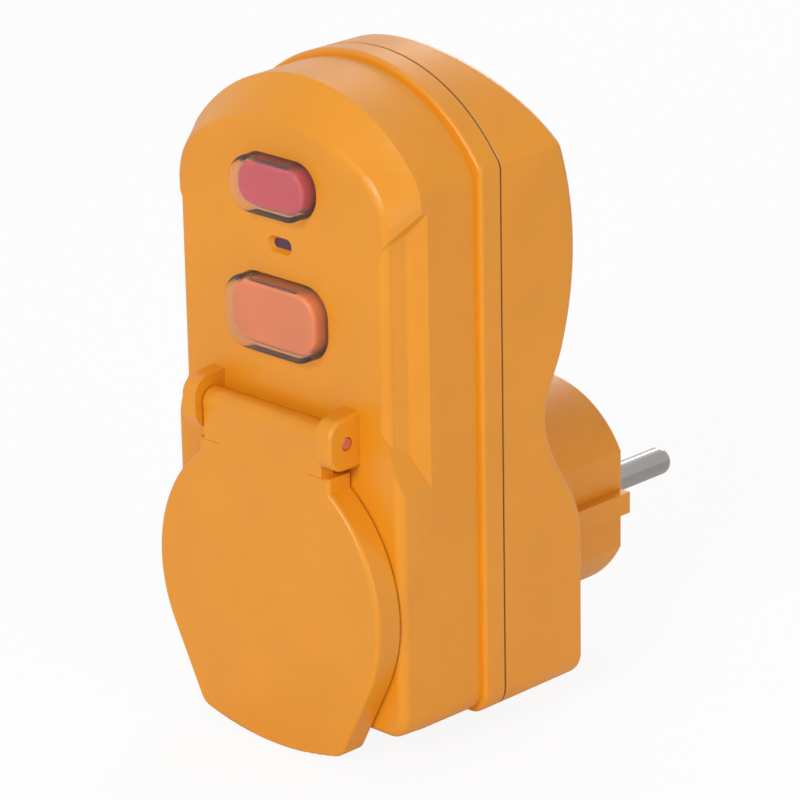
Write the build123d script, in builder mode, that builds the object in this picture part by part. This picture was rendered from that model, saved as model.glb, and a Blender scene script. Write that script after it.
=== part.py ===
from build123d import *
import math
import os

os.makedirs("parts", exist_ok=True)

# Plug-in residual-current adapter, in millimetres.
# +Z is up, +X is right as seen from the front, the front faces -Y.
# The origin is the centre of the plug face, midway between the two pins.

# ---------------------------------------------------------------- driving sizes
# Housing outline, seen from the front
half_width = 27.2
base_z = -22.7
corner_z = 70.2
crown_z = 84.7
base_corner = 4.0
shoulder_corner = 3.0
block_shoulder = 5.0
bevel_shoulder = 8.0
front_shoulder = 11.0
wall = 2.2

# Depths of the two shells
parting_y = -40.2
flange_width = 4.6
flange_step = 1.1
parting_groove = 0.25
draft_step = 0.3
front_y = -62.4
bevel_depth = 5.6
bevel_drop = 6.4
front_crown_flattening = 4.0
edge_round = 1.6

# Finger recesses down both upper sides of the front shell
recess_face_x = 23.4
recess_wall_depth = 4.2
recess_shoulder_depth = 3.3
recess_wall_lean = 0.6
recess_rim_round = 1.5
recess_end_top_z = 27.8
recess_end_drop = 8.0
recess_start_z = 61.5
recess_start_rise = 4.5
lower_block_rise = 6.0

# Curved back of the rear shell
bulge_centre_y = -74.6
bulge_centre_z = 53.0
bulge_radius = 52.0
waist_y = -29.4
waist_z = 26.0
foot_y = -21.0
foot_top_z = 2.0

# Plug
pot_radius = 18.9
pot_flat_x = 16.8
pot_rib_half = 1.9
pot_bore = 14.0
pot_face_wall = 5.0
pot_rim_round = 0.6
pin_radius = 2.4
pin_length = 19.0
pin_spacing = 19.0
pin_tail = 20.6
pin_collar_radius = 3.6
pin_collar_length = 2.0
strip_width = 5.0
strip_thickness = 0.8
strip_length = 11.5

# Socket
socket_z = 0.0
recess_radius = 19.5
recess_depth = 17.5
cup_wall = 1.2
cup_floor = 3.0
cup_gap = 0.1
rim_wall = 1.1
rim_height = 2.4
pin_hole_radius = 2.8
nose_width = 5.0
nose_height = 1.6

# Lid and hinge
lid_radius = 25.5
lid_centre_z = -0.95
lid_front_y = -67.6
lid_gap = 0.3
lid_plate = 1.6
lid_wall = 1.3
lid_shoulder_x = 15.0
lid_shoulder_z = 22.2
lid_tab_angle = 27.0
lid_tab_z = -27.8
lid_tab_half = 14.3
lid_tab_corner = 3.2
hinge_y = -65.3
hinge_z = 28.2
knuckle_radius = 2.4
ear_inner_x = 13.8
ear_width = 3.3
ear_reach = 3.8
ear_below = 4.5
ear_above = 4.8
ear_corner = 3.2
hinge_pin_radius = 1.1
hinge_gap = 0.05
spring_pocket = 3.8

# Buttons, light and their clear boots
test_z = 66.5
test_width = 17.0
test_height = 9.4
reset_z = 45.0
reset_width = 21.0
reset_height = 12.3
boot_proud = 3.1
boot_wall = 0.9
boot_flange = 1.3
boot_flange_thickness = 0.8
boot_round = 0.8
button_gap = 0.25
button_corner = 4.9
button_travel = 1.3
button_skirt = 3.4
stem_radius = 1.6
lamp_z = 56.6
lamp_width = 5.4
lamp_height = 2.8

# Inner chassis and circuit board
board_y = -38.0
board_thickness = 1.6
board_half_width = 20.0
board_bottom_z = 29.5
board_top_z = 75.0
board_corner = 8.0
frame_y = -50.5
frame_thickness = 2.0
frame_half_width = 11.5
frame_bottom_z = 34.5
frame_top_z = 72.0
leg_size = 2.6

# Fasteners
housing_screw_spots = [(20.6, -16.9), (-20.6, -16.9), (18.6, 66.6), (-18.6, 66.6)]
screw_radius = 1.45
screw_length = 15.0
screw_head_radius = 2.7
screw_head_height = 2.2
screw_seat_y = -32.0
boss_radius = 2.9
thread_gap = 0.05
board_screw_spots = [(-16.6, 36.0), (16.6, 60.0)]
board_screw_radius = 1.15
board_screw_length = 8.0
board_boss_radius = 2.5

# Socket contacts and shutter
pin_nose = 1.6
bow_radius = 18.2
bow_width = 5.0
bow_thickness = 0.8
shutter_thickness = 1.2
shutter_hub = 5.0
shutter_bore = 1.9
shutter_turn = 41.0
tulip_radius = 2.6
tulip_wall = 0.7
tulip_length = 10.5
contact_tail_width = 3.0

# Circuit board parts
transformer_z = 58.0
transformer_front = -34.4
transformer_depth = 5.6
transformer_outer = 10.4
transformer_inner = 5.2
transformer_turns = 24
wire_radius = 1.0
wire_pass_x = 2.6
coil_x = 15.6
coil_bottom_z = 37.5
coil_length = 13.0
coil_core_radius = 2.2
coil_outer_radius = 4.0
plunger_radius = 1.5
plunger_travel = 1.5
carrier_half_width = 8.5
carrier_height = 9.0
carrier_thickness = 3.6
bridge_x = 5.6
bridge_height = 7.0

# Seal between the two shells
seal_width = 0.8
seal_depth = 0.7
seal_inset = 0.7

# Lid details
knuckle_half = 13.5
web_thickness = 2.7
web_bottom_z = 22.2
lid_spring_wire = 0.25

# General clearances
seat = 0.05
running = 0.3

# ---------------------------------------------------------------- derived places
flange_y = parting_y - flange_width
bevel_y = front_y + bevel_depth
block_half = half_width - flange_step
block_corner_z = corner_z - 0.7
block_crown_z = crown_z - flange_step
block_base_z = base_z + flange_step / 2
front_half = block_half - draft_step
front_crown_z = block_crown_z - bevel_drop
front_corner_z = block_corner_z - bevel_drop + front_crown_flattening
front_corner_rise = 1.0
inner_front_y = front_y + wall
rim_y = front_y - rim_height
cup_outer = recess_radius + cup_wall
cup_hole = cup_outer + cup_gap
cup_floor_y = rim_y + recess_depth
cup_back_y = cup_floor_y + cup_floor
rim_outer = cup_hole + rim_wall
lid_back_y = front_y - lid_gap
pin_x = pin_spacing / 2
ear_outer_x = ear_inner_x + ear_width
board_back_y = board_y + board_thickness
spring_radius = stem_radius + 1.0
spring_wire = 0.3
carrier_spring_radius = 2.0
plunger_wire = 0.25
leaf_thickness = 0.4
button_face_y = front_y - boot_proud + boot_wall + button_gap
carrier_back_y = board_y - 5.9
carrier_front_y = carrier_back_y - carrier_thickness
reset_stem_end = carrier_front_y - seat
test_stem_end = board_y - 3.2
fixed_contact_y = carrier_back_y + 1.3 + button_travel + running
lamp_body_radius = 1.5
lamp_tip_y = inner_front_y + 1.4
lamp_back_y = frame_y - 0.6
coil_y = board_y - 1.3 - coil_outer_radius
coil_top_z = coil_bottom_z + coil_length
plunger_head_z = coil_top_z + 4.6
shutter_y = cup_back_y + running
bow_base_y = shutter_y + shutter_thickness + running + bow_thickness / 2
bow_back_y = bow_base_y + bow_thickness / 2 + seat
tulip_front_y = shutter_y + shutter_thickness + running
tulip_back_y = tulip_front_y + tulip_length
contact_tail_top = board_bottom_z + 2.2
link_back_y = -strip_length - 1.5 - 2 * strip_thickness - seat
link_reach = 13.0
frame_back_y = frame_y + frame_thickness


def facing(y):
    """Sketch plane at depth y whose normal points to the front."""
    return Plane.XZ.offset(-y)


def crossing(x):
    """Sketch plane at x, drawn in depth and height."""
    return Plane.YZ.offset(x)


def housing_outline(half, base, corner, crown, low_round, high_round):
    """Straight-sided, flat-bottomed outline with a shallow domed top."""
    with BuildSketch(Plane.XY) as outline:
        with BuildLine():
            Polyline((half, corner), (half, base), (-half, base), (-half, corner))
            ThreePointArc((-half, corner), (0, crown), (half, corner))
        make_face()
        fillet(outline.vertices().group_by(Axis.Y)[0], low_round)
        upper = outline.vertices().filter_by_position(Axis.Y, corner - 0.01, corner + 0.01)
        fillet(upper, high_round)
    return outline.sketch


def seal_ring(extra):
    """Sketch of the ring that runs around inside the parting line."""
    outer = half_width - seal_inset + extra
    inner = half_width - seal_inset - seal_width - extra
    drop = half_width - outer
    rise = half_width - inner
    ring = housing_outline(
        outer, base_z + drop, corner_z - drop / 2, crown_z - drop, base_corner - drop, 2.5
    )
    core = housing_outline(
        inner, base_z + rise, corner_z - rise / 2, crown_z - rise, base_corner - rise, 1.8
    )
    return ring - core


def boot_corner(height):
    """Corner radius of a boot or button of this height."""
    return min(button_corner, height / 2 - 0.3)


def coil(radius, wire, height, turns):
    """Round-wire compression spring standing on its own XY plane."""
    with BuildPart() as spring:
        with BuildLine() as path:
            Helix(pitch=height / turns, height=height, radius=radius)
        with BuildSketch(Plane(origin=path.line @ 0, z_dir=path.line % 0)):
            Circle(wire)
        sweep()
    return spring.part


def turned_to_depth(shape, x, y, z):
    """Stand a part made along +Z so that it runs along +Y from (x, y, z)."""
    return Pos(x, y, z) * Rot(-90, 0, 0) * shape


# ---------------------------------------------------------------- front housing
with BuildPart() as recess_cutter:
    shoulder_y = front_y + recess_wall_depth
    ridge_y = shoulder_y + recess_shoulder_depth
    with BuildSketch(Plane.XY.offset(recess_end_top_z - recess_end_drop - 1)):
        with BuildLine():
            rim_x = recess_face_x - recess_rim_round
            rim_reach = recess_rim_round * math.sqrt(0.5)
            ThreePointArc(
                (rim_x, front_y),
                (rim_x + rim_reach, front_y + recess_rim_round - rim_reach),
                (recess_face_x, front_y + recess_rim_round),
            )
            Polyline(
                (recess_face_x, front_y + recess_rim_round),
                (recess_face_x + recess_wall_lean, shoulder_y),
                (block_half + 0.3, ridge_y),
                (half_width + 2, ridge_y),
                (half_width + 2, front_y - 1),
                (rim_x, front_y - 1),
                (rim_x, front_y),
            )
        make_face()
        hollow_corner = vertices().sort_by_distance((recess_face_x + recess_wall_lean, shoulder_y))[0]
        fillet(hollow_corner, 1.8)
    extrude(amount=crown_z - recess_end_top_z + recess_end_drop + 2)
    with BuildSketch(facing(front_y + recess_wall_depth + recess_shoulder_depth + 1)):
        with BuildLine():
            Polyline(
                (recess_face_x - 2, recess_end_top_z + 4),
                (recess_face_x, recess_end_top_z),
                (front_half + 0.3, recess_end_top_z - recess_end_drop),
                (half_width + 3, recess_end_top_z - recess_end_drop),
                (half_width + 3, recess_start_z + recess_start_rise),
                (front_half + 0.3, recess_start_z + recess_start_rise),
                (recess_face_x, recess_start_z),
                (recess_face_x - 2, recess_start_z - 3),
                close=True,
            )
        make_face()
    extrude(amount=recess_wall_depth + recess_shoulder_depth + 3, mode=Mode.INTERSECT)

rounds = (base_corner, shoulder_corner)
flange_outline = housing_outline(half_width, base_z, corner_z, crown_z, *rounds)
root_outline = housing_outline(
    block_half, block_base_z, block_corner_z, block_crown_z, base_corner, block_shoulder
)
bevel_outline = housing_outline(
    block_half - draft_step / 2,
    block_base_z,
    block_corner_z,
    block_crown_z - draft_step,
    base_corner,
    bevel_shoulder,
)
front_outline = housing_outline(
    recess_face_x,
    block_base_z + draft_step,
    front_corner_z + front_corner_rise,
    front_crown_z,
    base_corner,
    front_shoulder,
)
lower_top_z = recess_end_top_z + lower_block_rise
lower_middle_z = (block_base_z + lower_top_z) / 2
lower_height = lower_top_z - block_base_z

deep_hollow_y = front_y + recess_wall_depth + recess_shoulder_depth + wall
deep_hollow_outline = housing_outline(
    block_half - wall, block_base_z + wall, block_corner_z - wall, block_crown_z - wall, 2.0, 1.5
)
shallow_hollow_outline = housing_outline(
    recess_face_x - wall, block_base_z + wall, front_corner_z - wall, front_crown_z - wall, 2.0, 1.5
)
lower_hollow_top = recess_end_top_z - recess_end_drop - wall
lamp_bevel = 0.9

with BuildPart() as lower_block:
    with BuildSketch(facing(bevel_y + 0.5)):
        with Locations((0, lower_middle_z)):
            RectangleRounded(2 * block_half - draft_step, lower_height, base_corner)
    with BuildSketch(facing(front_y)):
        with Locations((0, lower_middle_z + draft_step / 2)):
            RectangleRounded(2 * front_half, lower_height - draft_step, base_corner)
    loft()
    lower_front = faces().filter_by(Axis.Y).sort_by(Axis.Y)[0]
    fillet(lower_front.outer_wire().edges(), edge_round)

with BuildPart() as front_housing:
    with BuildSketch(facing(parting_y)):
        add(flange_outline)
    extrude(amount=flange_width)
    flange_edges = edges().filter_by_position(Axis.Y, flange_y - 0.01, flange_y + 0.01)
    fillet(flange_edges, 0.7)
    parting_rim = edges().filter_by_position(Axis.Y, parting_y - 0.01, parting_y + 0.01)
    chamfer(parting_rim, parting_groove)
    with BuildSketch(facing(flange_y + 1)):
        add(root_outline)
    with BuildSketch(facing(bevel_y)):
        add(bevel_outline)
    loft()
    with BuildSketch(facing(bevel_y)):
        add(bevel_outline)
    with BuildSketch(facing(front_y)):
        add(front_outline)
    loft()
    front_face = faces().filter_by(Axis.Y).sort_by(Axis.Y)[0]
    fillet(front_face.outer_wire().edges(), edge_round)
    add(lower_block.part)
    add(recess_cutter.part, mode=Mode.SUBTRACT)
    add(mirror(recess_cutter.part, about=Plane.YZ), mode=Mode.SUBTRACT)
    # Hollow: full width behind the finger recesses, narrower between them, full again at the socket
    with BuildSketch(facing(parting_y)):
        add(deep_hollow_outline)
    extrude(amount=parting_y - deep_hollow_y, mode=Mode.SUBTRACT)
    with BuildSketch(facing(deep_hollow_y)):
        add(shallow_hollow_outline)
    extrude(amount=deep_hollow_y - inner_front_y, mode=Mode.SUBTRACT)
    with BuildSketch(facing(deep_hollow_y)):
        with Locations((0, (lower_hollow_top + block_base_z + wall) / 2)):
            RectangleRounded(
                2 * (front_half - wall), lower_hollow_top - block_base_z - wall, base_corner - wall
            )
    extrude(amount=deep_hollow_y - inner_front_y, mode=Mode.SUBTRACT)
    # Posts for the housing screws and for the circuit board screws
    with BuildSketch(facing(parting_y)):
        with Locations(*housing_screw_spots):
            Circle(boss_radius)
    extrude(amount=parting_y - inner_front_y + 0.5)
    with BuildSketch(facing(board_y)):
        with Locations(*board_screw_spots):
            Circle(board_boss_radius)
    extrude(amount=board_y - inner_front_y + 0.5)
    with BuildSketch(facing(parting_y)):
        with Locations(*housing_screw_spots):
            Circle(screw_radius + thread_gap)
    extrude(amount=screw_length, mode=Mode.SUBTRACT)
    with BuildSketch(facing(board_y)):
        with Locations(*board_screw_spots):
            Circle(board_screw_radius + thread_gap)
    extrude(amount=board_screw_length, mode=Mode.SUBTRACT)
    # Raised rim and opening of the socket
    with BuildSketch(facing(front_y + 1)):
        with Locations((0, socket_z)):
            Circle(rim_outer)
    extrude(amount=rim_height + 1)
    with BuildSketch(facing(parting_y)):
        with Locations((0, socket_z)):
            Circle(cup_hole)
    extrude(amount=parting_y - rim_y + 1, mode=Mode.SUBTRACT)
    # Openings for the two boots and the lamp window
    for z, width, height in ((test_z, test_width, test_height), (reset_z, reset_width, reset_height)):
        with BuildSketch(facing(front_y + wall + 1)):
            with Locations((0, z)):
                RectangleRounded(width + 2 * seat, height + 2 * seat, boot_corner(height) + seat)
        extrude(amount=wall + 2, mode=Mode.SUBTRACT)
    with BuildSketch(facing(front_y + wall + 1)):
        with Locations((0, lamp_z)):
            RectangleRounded(lamp_width - 1.2, lamp_height - 1.2, (lamp_height - 1.3) / 2)
    extrude(amount=wall + 2, mode=Mode.SUBTRACT)
    with BuildSketch(facing(front_y)):
        with Locations((0, lamp_z)):
            RectangleRounded(lamp_width, lamp_height, lamp_height / 2 - 0.1)
    with BuildSketch(facing(front_y + lamp_bevel)):
        with Locations((0, lamp_z)):
            RectangleRounded(lamp_width - 1.2, lamp_height - 1.2, (lamp_height - 1.3) / 2)
    loft(mode=Mode.SUBTRACT)
    # Hinge ears with their pin bores
    for x in (ear_inner_x, -ear_outer_x):
        with BuildSketch(crossing(x)):
            with BuildLine():
                Polyline(
                    (front_y + 1, hinge_z - ear_below),
                    (hinge_y - ear_reach, hinge_z - ear_below),
                    (hinge_y - ear_reach, hinge_z + ear_above - 0.8),
                    (front_y + 1, hinge_z + ear_above),
                    close=True,
                )
            make_face()
            fillet(vertices().group_by(Axis.X)[0], ear_corner)
        extrude(amount=ear_width)
    ear_rims = edges().filter_by_position(Axis.X, ear_outer_x - 0.01, ear_outer_x + 0.01)
    ear_rims += edges().filter_by_position(Axis.X, -ear_outer_x - 0.01, -ear_outer_x + 0.01)
    ear_rims = ear_rims.filter_by_position(Axis.Y, hinge_y - ear_reach - 0.1, front_y - 0.05)
    fillet(ear_rims, 0.6)
    with BuildSketch(crossing(-ear_outer_x - 1)):
        with Locations((hinge_y, hinge_z)):
            Circle(hinge_pin_radius + seat)
    extrude(amount=2 * ear_outer_x + 2, mode=Mode.SUBTRACT)
    # Groove for half of the seal
    with BuildSketch(facing(parting_y)):
        add(seal_ring(seat))
    extrude(amount=seal_depth, mode=Mode.SUBTRACT)
front_housing.part.label = "front_housing"
export_step(front_housing.part, "parts/front_housing.step")

# ---------------------------------------------------------------- rear housing
bulge_end_z = waist_z + 10.0
bulge_end_y = bulge_centre_y + math.sqrt(bulge_radius**2 - (bulge_end_z - bulge_centre_z) ** 2)
bulge_top_z = crown_z + 1.0
bulge_end_rise = Vector(bulge_centre_z - bulge_end_z, bulge_end_y - bulge_centre_y).normalized()
foot_mid_y = waist_y + 0.42 * (foot_y - waist_y)
foot_mid_z = waist_z - 0.45 * (waist_z - foot_top_z)


def back_profile(front, inset=0.0):
    """Side profile of the curved back, from the plane y = front rearwards, shrunk by inset."""
    radius = bulge_radius - inset
    share = radius / bulge_radius
    top_y = bulge_centre_y + math.sqrt(radius**2 - (bulge_top_z - bulge_centre_z) ** 2)
    end_y = bulge_centre_y + (bulge_end_y - bulge_centre_y) * share
    end_z = bulge_centre_z + (bulge_end_z - bulge_centre_z) * share
    with BuildSketch(Plane.XY) as profile:
        with BuildLine():
            Polyline((top_y, bulge_top_z), (front, bulge_top_z), (front, base_z))
            Polyline((front, base_z), (foot_y - inset, base_z), (foot_y - inset, foot_top_z))
            Spline(
                (foot_y - inset, foot_top_z),
                (foot_mid_y - 0.94 * inset, foot_mid_z - 0.33 * inset),
                (waist_y - inset, waist_z),
                (end_y, end_z),
                tangents=[(0, 1), bulge_end_rise],
            )
            ThreePointArc(
                (end_y, end_z), (bulge_centre_y + radius, bulge_centre_z), (top_y, bulge_top_z)
            )
        make_face()
    return profile.sketch


outer_profile = back_profile(parting_y)
inner_profile = back_profile(parting_y - wall, wall)

with BuildSketch(Plane.XY) as pot_outline:
    with Locations((0, 0)):
        Circle(pot_radius)
    with Locations((pot_flat_x + 5, 0), (-pot_flat_x - 5, 0)):
        Rectangle(10, 4 * pot_radius, mode=Mode.SUBTRACT)
    with BuildSketch(Plane.XY, mode=Mode.PRIVATE) as ribs:
        Rectangle(2 * pot_radius, 2 * pot_rib_half)
    add(ribs.sketch)

back_edge_round = 1.6
screw_column_radius = screw_head_radius + 1.2
upper_back_y = bulge_centre_y + math.sqrt(
    bulge_radius**2 - (housing_screw_spots[2][1] - bulge_centre_z) ** 2
)
strip_inset = 1.5
strip_outer_z = pot_radius - 0.3
tab_front_y = -strip_inset - strip_length
tab_inner_z = 11.0


def inner_seam(edge):
    """An edge that only joins two smooth patches of the back."""
    if edge.center().Z < base_z + 0.1:
        return False
    return edge.geom_type == GeomType.LINE and abs(edge.tangent_at(0.5).X) > 0.9 or (
        edge.bounding_box().size.X > half_width and edge.center().Z < crown_z - 5
    )


with BuildPart() as rear_solid:
    with BuildSketch(facing(parting_y)):
        add(flange_outline)
    extrude(amount=parting_y)
    with BuildSketch(Plane.YZ):
        add(outer_profile)
    extrude(amount=half_width + 5, both=True, mode=Mode.INTERSECT)
    parting_rim = edges().filter_by_position(Axis.Y, parting_y - 0.01, parting_y + 0.01)
    chamfer(parting_rim, parting_groove)
    back_edges = edges().filter_by(Axis.Y, reverse=True)
    back_edges = back_edges.filter_by_position(Axis.Y, parting_y + 0.5, 0)
    fillet(back_edges.filter_by(inner_seam, reverse=True), back_edge_round)
    # Plug body, standing out of the back
    with BuildSketch(facing(0)):
        add(pot_outline.sketch)
    extrude(amount=-waist_y)
    pot_rim = edges().filter_by_position(Axis.Y, -0.01, 0.01)
    fillet(pot_rim, pot_rim_round)
    # Columns around the housing screws
    with BuildSketch(facing(foot_y - wall / 2)):
        with Locations(*housing_screw_spots[:2]):
            Circle(screw_column_radius)
    extrude(amount=foot_y - wall / 2 - parting_y)
    with BuildSketch(facing(upper_back_y - wall / 2)):
        with Locations(*housing_screw_spots[2:]):
            Circle(screw_column_radius)
    extrude(amount=upper_back_y - wall / 2 - parting_y)

rear_hollow_outline = housing_outline(
    half_width - wall, base_z + wall, corner_z - wall, crown_z - wall, 2.0, 1.5
)

with BuildPart() as rear_hollow:
    with BuildSketch(facing(parting_y)):
        add(rear_hollow_outline)
    extrude(amount=parting_y)
    with BuildSketch(Plane.YZ):
        add(inner_profile)
    extrude(amount=half_width, both=True, mode=Mode.INTERSECT)
    with BuildSketch(facing(foot_y)):
        with Locations(*housing_screw_spots):
            Circle(screw_column_radius)
    extrude(amount=foot_y - parting_y, mode=Mode.SUBTRACT)
    with BuildSketch(facing(-pot_face_wall)):
        Circle(pot_bore)
    extrude(amount=-pot_face_wall - waist_y + wall)

with BuildPart() as rear_housing:
    add(rear_solid.part)
    add(rear_hollow.part, mode=Mode.SUBTRACT)
    with BuildSketch(facing(1)):
        with Locations((pin_x, 0), (-pin_x, 0)):
            Circle(pin_radius + seat)
    extrude(amount=pot_face_wall + 2, mode=Mode.SUBTRACT)
    for side in (1, -1):
        with BuildSketch(facing(-strip_inset)):
            with Locations((0, side * (strip_outer_z - strip_thickness / 2))):
                Rectangle(strip_width + 2 * seat, strip_thickness + 2 * seat)
            with Locations((0, side * (strip_outer_z + 1))):
                Rectangle(strip_width + 2 * seat, 2)
        extrude(amount=strip_length + seat, mode=Mode.SUBTRACT)
        with BuildSketch(facing(tab_front_y + seat)):
            with Locations((0, side * (strip_outer_z + tab_inner_z) / 2)):
                Rectangle(strip_width + 2 * seat, strip_outer_z - tab_inner_z + 2 * seat)
        extrude(amount=strip_thickness + 2 * seat, mode=Mode.SUBTRACT)
    with BuildSketch(facing(0)):
        with Locations(*housing_screw_spots):
            Circle(screw_radius + 0.25)
    extrude(amount=-parting_y + 1, mode=Mode.SUBTRACT)
    with BuildSketch(facing(-1)):
        with Locations(*housing_screw_spots):
            Circle(screw_head_radius + 0.3)
    extrude(amount=-1 - screw_seat_y, mode=Mode.SUBTRACT)
    # Groove for the other half of the seal
    with BuildSketch(facing(parting_y)):
        add(seal_ring(seat))
    extrude(amount=-seal_depth, mode=Mode.SUBTRACT)
rear_housing.part.label = "rear_housing"
export_step(rear_housing.part, "parts/rear_housing.step")

# ---------------------------------------------------------------- seal between the shells
with BuildPart() as housing_seal:
    with BuildSketch(facing(parting_y + seal_depth - seat)):
        add(seal_ring(-seat))
    extrude(amount=2 * seal_depth - 2 * seat)
housing_seal.part.label = "housing_seal"
export_step(housing_seal.part, "parts/housing_seal.step")


with BuildPart() as housing_screws:
    with BuildSketch(facing(screw_seat_y)):
        with Locations(*housing_screw_spots):
            Circle(screw_radius)
    extrude(amount=screw_length - 1)
    with BuildSketch(facing(screw_seat_y)):
        with Locations(*housing_screw_spots):
            Circle(screw_head_radius)
    extrude(amount=-screw_head_height)
    head_rims = edges().filter_by_position(
        Axis.Y, screw_seat_y + screw_head_height - 0.01, screw_seat_y + screw_head_height + 0.01
    )
    fillet(head_rims, 0.6)
    with BuildSketch(facing(screw_seat_y + screw_head_height)):
        with Locations(*housing_screw_spots):
            Rectangle(screw_head_radius * 1.2, screw_head_radius * 0.32)
            Rectangle(screw_head_radius * 0.32, screw_head_radius * 1.2)
    extrude(amount=1.3, mode=Mode.SUBTRACT)
housing_screws.part.label = "housing_screws"
export_step(housing_screws.part, "parts/housing_screws.step")

# ---------------------------------------------------------------- plug pins and earth strips
for name, x in (("plug_pin_live", pin_x), ("plug_pin_neutral", -pin_x)):
    with BuildPart() as plug_pin:
        with BuildSketch(Plane.XY) as pin_profile:
            with BuildLine():
                Polyline((0, -pin_tail), (pin_radius - 0.6, -pin_tail), (pin_radius - 0.6, -pin_tail + 4))
                Polyline(
                    (pin_radius - 0.6, -pin_tail + 4),
                    (pin_radius, -pin_tail + 4.6),
                    (pin_radius, -pot_face_wall - seat - pin_collar_length),
                    (pin_collar_radius, -pot_face_wall - seat - pin_collar_length),
                    (pin_collar_radius, -pot_face_wall - seat),
                    (pin_radius, -pot_face_wall - seat),
                    (pin_radius, pin_length),
                    (0, pin_length),
                    (0, -pin_tail),
                )
            make_face()
            fillet(pin_profile.vertices().sort_by_distance((pin_radius, pin_length))[0], pin_nose)
        revolve(axis=Axis.Y)
    plug_pin_placed = Pos(x, 0, 0) * plug_pin.part
    plug_pin_placed.label = name
    export_step(plug_pin_placed, f"parts/{name}.step")

for name, side in (("plug_earth_contact_top", 1), ("plug_earth_contact_bottom", -1)):
    with BuildPart() as earth_contact:
        with BuildSketch(facing(-strip_inset - seat)):
            with Locations((0, side * (strip_outer_z - strip_thickness / 2))):
                Rectangle(strip_width, strip_thickness)
        extrude(amount=strip_length + strip_thickness - seat)
        with BuildSketch(facing(tab_front_y)):
            with Locations((0, side * (strip_outer_z + tab_inner_z) / 2)):
                Rectangle(strip_width, strip_outer_z - tab_inner_z)
        extrude(amount=strip_thickness)
        outer_bend = edges().filter_by(Axis.X).sort_by_distance(
            (0, tab_front_y - strip_thickness, side * strip_outer_z)
        )[0]
        fillet(outer_bend, 0.6)
    earth_contact.part.label = name
    export_step(earth_contact.part, f"parts/{name}.step")

# ---------------------------------------------------------------- socket
with BuildPart() as socket_cup:
    with BuildSketch(facing(cup_back_y)):
        with Locations((0, socket_z)):
            Circle(cup_outer)
            Circle(recess_radius, mode=Mode.SUBTRACT)
    extrude(amount=cup_back_y - rim_y)
    mouth = edges().filter_by_position(Axis.Y, rim_y - 0.01, rim_y + 0.01).sort_by(SortBy.LENGTH)[0]
    fillet(mouth, 0.5)
    with BuildSketch(facing(cup_floor_y - seat)):
        with Locations((recess_radius - nose_height / 2 + 0.3, socket_z)):
            Rectangle(nose_height + 0.6, nose_width)
        with Locations((-recess_radius + nose_height / 2 - 0.3, socket_z)):
            Rectangle(nose_height + 0.6, nose_width)
    extrude(amount=recess_depth - 3 - seat)
socket_cup.part.label = "socket_cup"
export_step(socket_cup.part, "parts/socket_cup.step")

with BuildPart() as socket_floor:
    with BuildSketch(facing(cup_back_y)):
        with Locations((0, socket_z)):
            Circle(recess_radius - seat)
        with Locations((pin_x, socket_z), (-pin_x, socket_z)):
            Circle(pin_hole_radius, mode=Mode.SUBTRACT)
        with Locations((0, socket_z + bow_radius), (0, socket_z - bow_radius)):
            Rectangle(bow_width + 0.4, bow_thickness + 1.2, mode=Mode.SUBTRACT)
    extrude(amount=cup_floor)
socket_floor.part.label = "socket_floor"
export_step(socket_floor.part, "parts/socket_floor.step")

with BuildPart() as socket_earth_bow:
    with BuildSketch(Plane.YZ) as bow_profile:
        with BuildLine():
            bow_path = Polyline(
                (rim_y + 5, bow_radius + 0.1),
                (rim_y + 8, bow_radius - 0.9),
                (rim_y + 12, bow_radius),
                (bow_base_y, bow_radius),
                (bow_base_y, -bow_radius),
                (rim_y + 12, -bow_radius),
                (rim_y + 8, -bow_radius + 0.9),
                (rim_y + 5, -bow_radius - 0.1),
            )
            offset(bow_path, amount=bow_thickness / 2, side=Side.BOTH)
        make_face()
    extrude(amount=bow_width / 2, both=True)
bow = Pos(0, 0, socket_z) * socket_earth_bow.part
bow.label = "socket_earth_bow"
export_step(bow, "parts/socket_earth_bow.step")

with BuildPart() as shutter:
    with BuildSketch(facing(shutter_y + shutter_thickness)):
        with Locations((0, socket_z)):
            Circle(shutter_hub)
            Circle(shutter_bore, mode=Mode.SUBTRACT)
        for side in (1, -1):
            with Locations((side * pin_x * 0.78, socket_z)):
                Rectangle(pin_x * 0.9, 2 * pin_hole_radius + 0.4)
            with Locations((side * pin_x, socket_z)):
                Circle(pin_hole_radius + 0.6)
    extrude(amount=shutter_thickness)
    with BuildSketch(facing(shutter_y + shutter_thickness)):
        with Locations((0, socket_z)):
            Circle(shutter_bore)
    extrude(amount=shutter_thickness, mode=Mode.SUBTRACT)
shutter.part.label = "shutter"
export_step(shutter.part, "parts/shutter.step")

with BuildPart() as shutter_pivot:
    with BuildSketch(facing(cup_back_y + seat)):
        with Locations((0, socket_z)):
            Circle(shutter_bore - running / 2)
    extrude(amount=-(bow_base_y - bow_thickness / 2 - seat - cup_back_y - seat))
shutter_pivot.part.label = "shutter_pivot"
export_step(shutter_pivot.part, "parts/shutter_pivot.step")

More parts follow.
